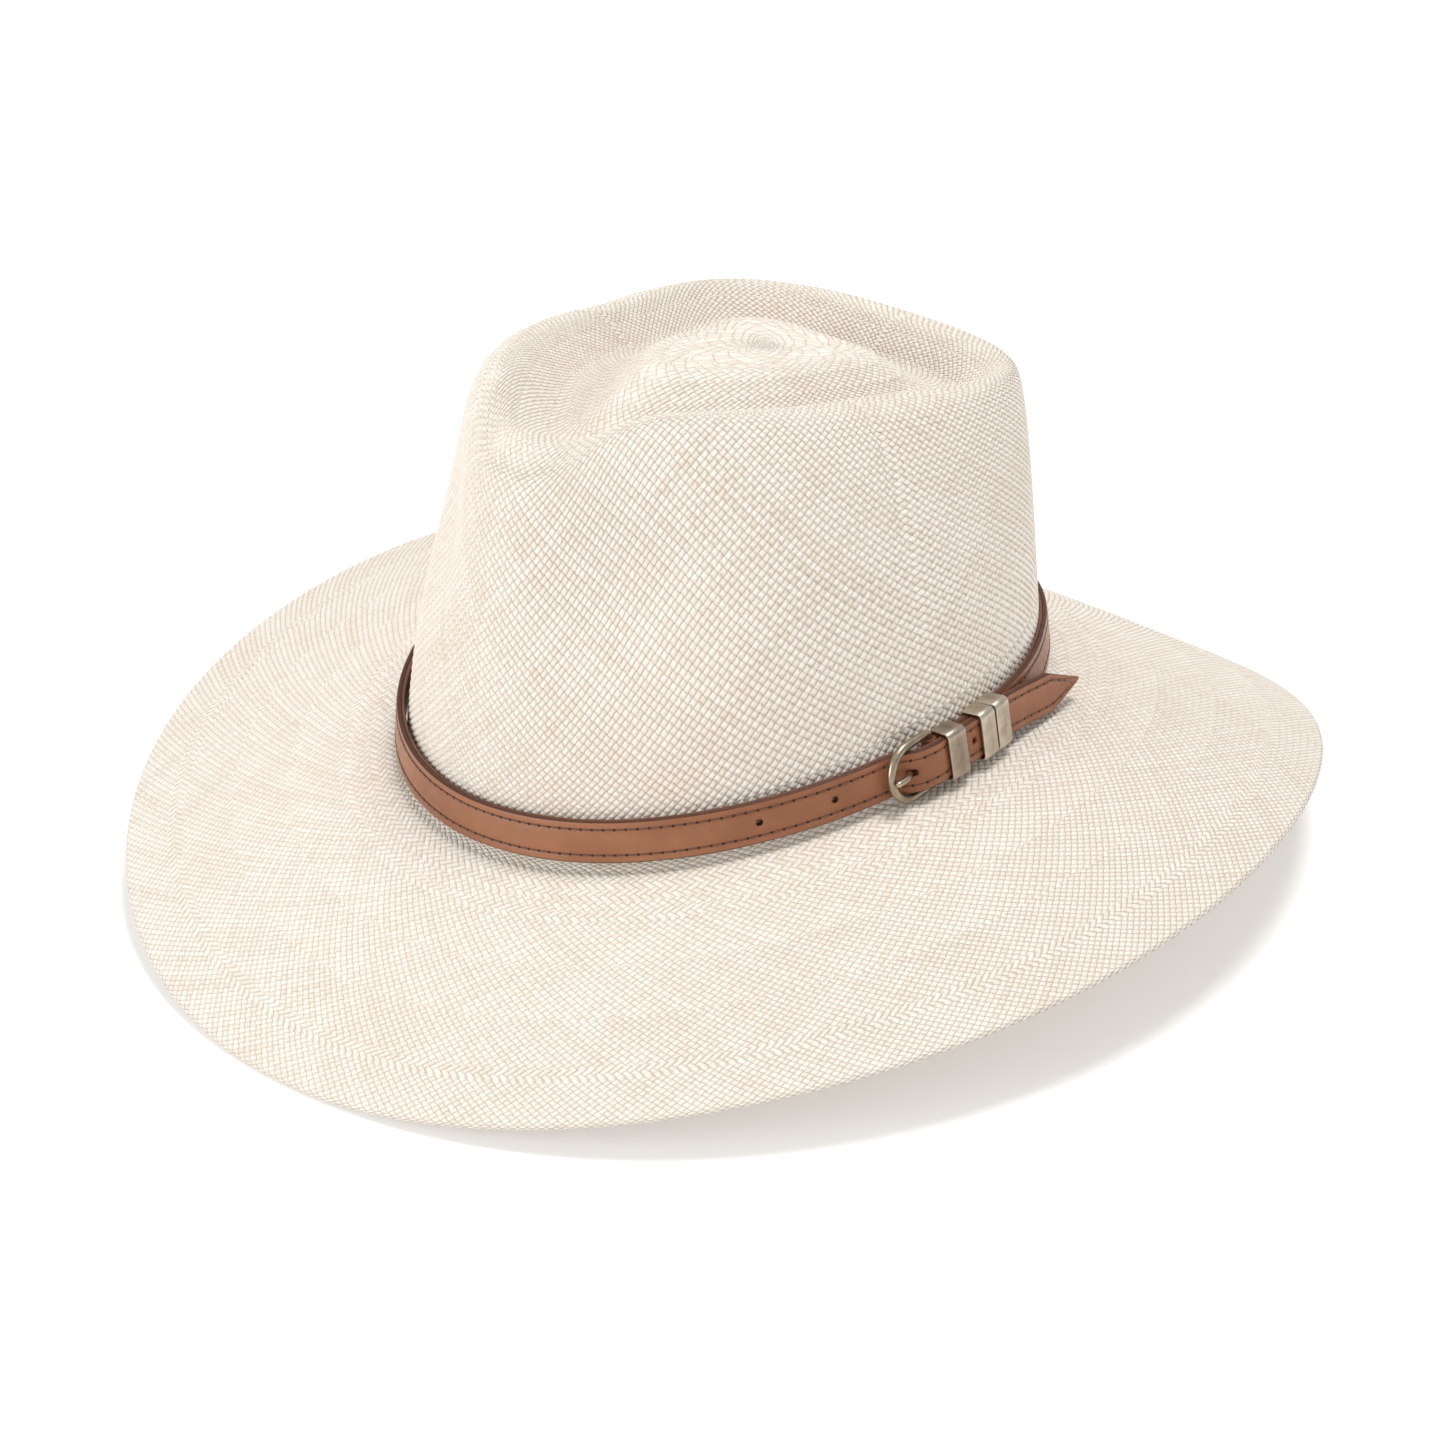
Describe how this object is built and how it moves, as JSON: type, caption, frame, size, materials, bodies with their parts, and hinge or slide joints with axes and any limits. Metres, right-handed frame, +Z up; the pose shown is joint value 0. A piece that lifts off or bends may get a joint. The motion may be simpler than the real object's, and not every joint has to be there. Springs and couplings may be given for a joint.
{
  "type": "panama hat",
  "caption": "Wide-brimmed woven straw hat with a teardrop crown, front pinch, dipped brim and a buckled leather strap hatband with metal keepers.",
  "frame": {"origin": "on the surface that the brim rests on, below the middle of the brim", "axes": "+Z up, -Y towards the front of the hat, +X towards the wearer's left"},
  "size_m": [0.3538, 0.3634, 0.1626],
  "materials": {
    "straw": "woven straw, matt with a faint gloss",
    "sweatband_cloth": "cotton twill",
    "piping": "cloth piping over a reed",
    "pale_thread": "cotton thread",
    "bow_ribbon": "grosgrain ribbon",
    "leather": "smooth tan leather, satin, with darker edges",
    "leather_backing": "plain split leather",
    "brown_thread": "waxed thread",
    "antique_brass": "antique, brushed and darkened in the corners",
    "keeper_metal": "antique, satin"
  },
  "bodies": {
    "hat": {"straw_body": "straw", "sweatband": "sweatband_cloth", "sweatband_reed": "piping", "sweatband_stitching": "pale_thread", "sweatband_bow": "bow_ribbon"},
    "hatband": {"hatband_strap": "leather", "hatband_backing": "leather_backing", "hatband_stitching_upper": "brown_thread", "hatband_stitching_lower": "brown_thread", "buckle_chape": "leather", "buckle_frame": "antique_brass"},
    "prong": {"buckle_prong": "antique_brass"},
    "front_keeper": {"keeper_front": "keeper_metal"},
    "rear_keeper_inner": {"keeper_rear_inner": "keeper_metal"},
    "rear_keeper_outer": {"keeper_rear_outer": "keeper_metal"}
  },
  "joints": [
    {"name": "hatband_lift", "type": "slide", "parent": "hat", "child": "hatband", "axis": [0, 0, 1], "range_m": [0, 0.14]},
    {"name": "prong_turn", "type": "hinge", "parent": "hatband", "child": "prong", "pos_m": [0.09045, -0.00443, 0.0577], "axis": [-0.0932, -0.0488, 0.9945], "range_deg": [0, 4]},
    {"name": "keeper_front_slide", "type": "slide", "parent": "hatband", "child": "front_keeper", "axis": [0.0069, 0.9988, 0.0476], "range_m": [0, 0.0028]},
    {"name": "keeper_inner_slide", "type": "slide", "parent": "hatband", "child": "rear_keeper_inner", "axis": [-0.1009, 0.9944, 0.0327], "range_m": [-0.0028, 0.0028]},
    {"name": "keeper_outer_slide", "type": "slide", "parent": "hatband", "child": "rear_keeper_outer", "axis": [-0.1573, 0.9872, 0.0249], "range_m": [-0.0028, 0.0028]}
  ],
  "couplings": [
    {"joint": "keeper_outer_slide", "follows": "keeper_inner_slide", "ratio": 1}
  ]
}
